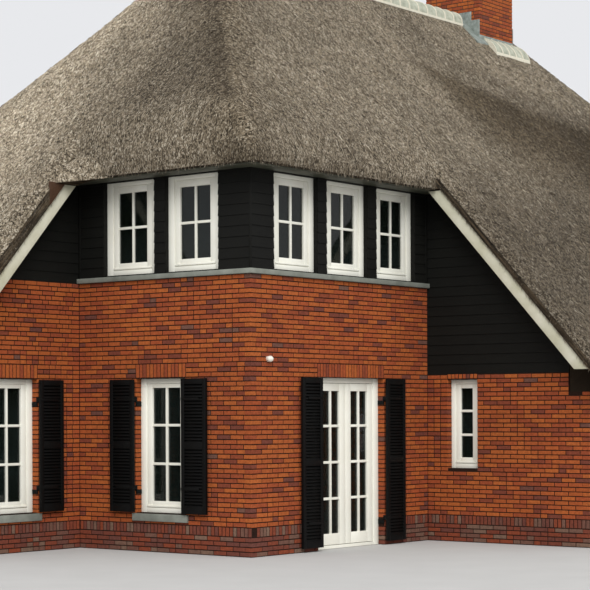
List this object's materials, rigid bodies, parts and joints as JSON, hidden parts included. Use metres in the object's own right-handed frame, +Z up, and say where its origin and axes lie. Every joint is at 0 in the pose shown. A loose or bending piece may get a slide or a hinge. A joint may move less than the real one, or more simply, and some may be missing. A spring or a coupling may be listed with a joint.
{
  "type": "thatched cottage",
  "caption": "Hollow brick cottage under one hipped thatch roof that sweeps low over two wings, with a boarded upper storey in the corner, French doors and louvred shutters.",
  "frame": {"origin": "centre of the footprint's bounding box at ground level, under the ridge", "axes": "+Z up, +Y along the ridge away from the corner block, +X from the left side to the right side seen from the front"},
  "size_m": [12.02, 20.36, 10.2],
  "materials": {
    "brick": "matt fired clay with recessed dark joints",
    "thatch": "weathered reed",
    "boarding": "black painted shiplap boards",
    "frame_paint": "cream white satin paint",
    "black_paint": "black satin paint",
    "stone": "sawn blue-grey stone",
    "concrete": "floated concrete",
    "ridge_clay": "weathered pale clay with lime bloom",
    "lead": "dull sheet lead",
    "pane": "clear glazing"
  },
  "bodies": {
    "house": {"ground_floor_slab": "concrete", "upper_floor": "concrete", "corner_front_wall": "brick", "corner_side_wall_near": "brick", "corner_side_wall_far": "brick", "corner_side_wall_over_door": "brick", "left_wing_side_wall": "brick", "right_wing_side_wall": "brick", "left_wing_front_wall": "brick", "left_wing_front_windows": "frame_paint", "left_long_wall": "brick", "left_long_windows": "frame_paint", "back_wall": "brick", "back_windows": "frame_paint", "right_long_wall": "brick", "right_long_windows": "frame_paint", "upper_front_boarding": "boarding", "upper_side_boarding": "boarding", "left_gable_boarding": "boarding", "right_gable_boarding": "boarding", "sill_band": "stone", "front_window_sill": "stone", "left_wing_window_sill": "stone", "thatch_roof": "thatch", "ridge_caps": "ridge_clay", "side_caps_right": "ridge_clay", "side_caps_left": "ridge_clay", "chimney_stack": "brick", "chimney_flashing": "lead", "left_bargeboard": "frame_paint", "right_bargeboard": "frame_paint", "eave_soffit": "frame_paint", "front_window_frame": "frame_paint", "front_window_glass": "pane", "left_wing_window": "frame_paint", "right_wing_narrow_window": "frame_paint", "upper_front_window_right": "frame_paint", "upper_front_window_left": "frame_paint", "upper_side_window_near": "frame_paint", "upper_side_window_middle": "frame_paint", "upper_side_window_far": "frame_paint", "upper_glass": "pane", "french_door_frame": "frame_paint"},
    "door_left": {"french_door_left": "frame_paint", "french_door_left_glass": "pane"},
    "door_right": {"french_door_right": "frame_paint", "french_door_right_glass": "pane"},
    "window_shutter_left": {"front_shutter_left": "black_paint"},
    "window_shutter_right": {"front_shutter_right": "black_paint"},
    "wing_shutter_far": {"left_wing_shutter_far": "black_paint"},
    "wing_shutter_near": {"left_wing_shutter_near": "black_paint"},
    "door_shutter_left": {"door_shutter_left": "black_paint"},
    "door_shutter_right": {"door_shutter_right": "black_paint"}
  },
  "joints": [
    {"name": "door_left_hinge", "type": "hinge", "parent": "house", "child": "door_left", "pos_m": [2.778, -5.609, 0], "axis": [0, 0, 1], "range_deg": [0, 90]},
    {"name": "door_right_hinge", "type": "hinge", "parent": "house", "child": "door_right", "pos_m": [2.778, -4.325, 0], "axis": [0, 0, -1], "range_deg": [0, 90]},
    {"name": "window_shutter_left_hinge", "type": "hinge", "parent": "house", "child": "window_shutter_left", "pos_m": [0.944, -7.122, 0], "axis": [0, 0, 1], "range_deg": [0, 180]},
    {"name": "window_shutter_right_hinge", "type": "hinge", "parent": "house", "child": "window_shutter_right", "pos_m": [1.816, -7.122, 0], "axis": [0, 0, -1], "range_deg": [0, 180]},
    {"name": "wing_shutter_far_hinge", "type": "hinge", "parent": "house", "child": "wing_shutter_far", "pos_m": [-0.138, -8.806, 0], "axis": [0, 0, 1], "range_deg": [0, 180]},
    {"name": "wing_shutter_near_hinge", "type": "hinge", "parent": "house", "child": "wing_shutter_near", "pos_m": [-0.138, -7.934, 0], "axis": [0, 0, -1], "range_deg": [0, 180]},
    {"name": "door_shutter_left_hinge", "type": "hinge", "parent": "house", "child": "door_shutter_left", "pos_m": [2.952, -5.713, 0], "axis": [0, 0, 1], "range_deg": [0, 180]},
    {"name": "door_shutter_right_hinge", "type": "hinge", "parent": "house", "child": "door_shutter_right", "pos_m": [2.952, -4.221, 0], "axis": [0, 0, -1], "range_deg": [0, 180]}
  ]
}
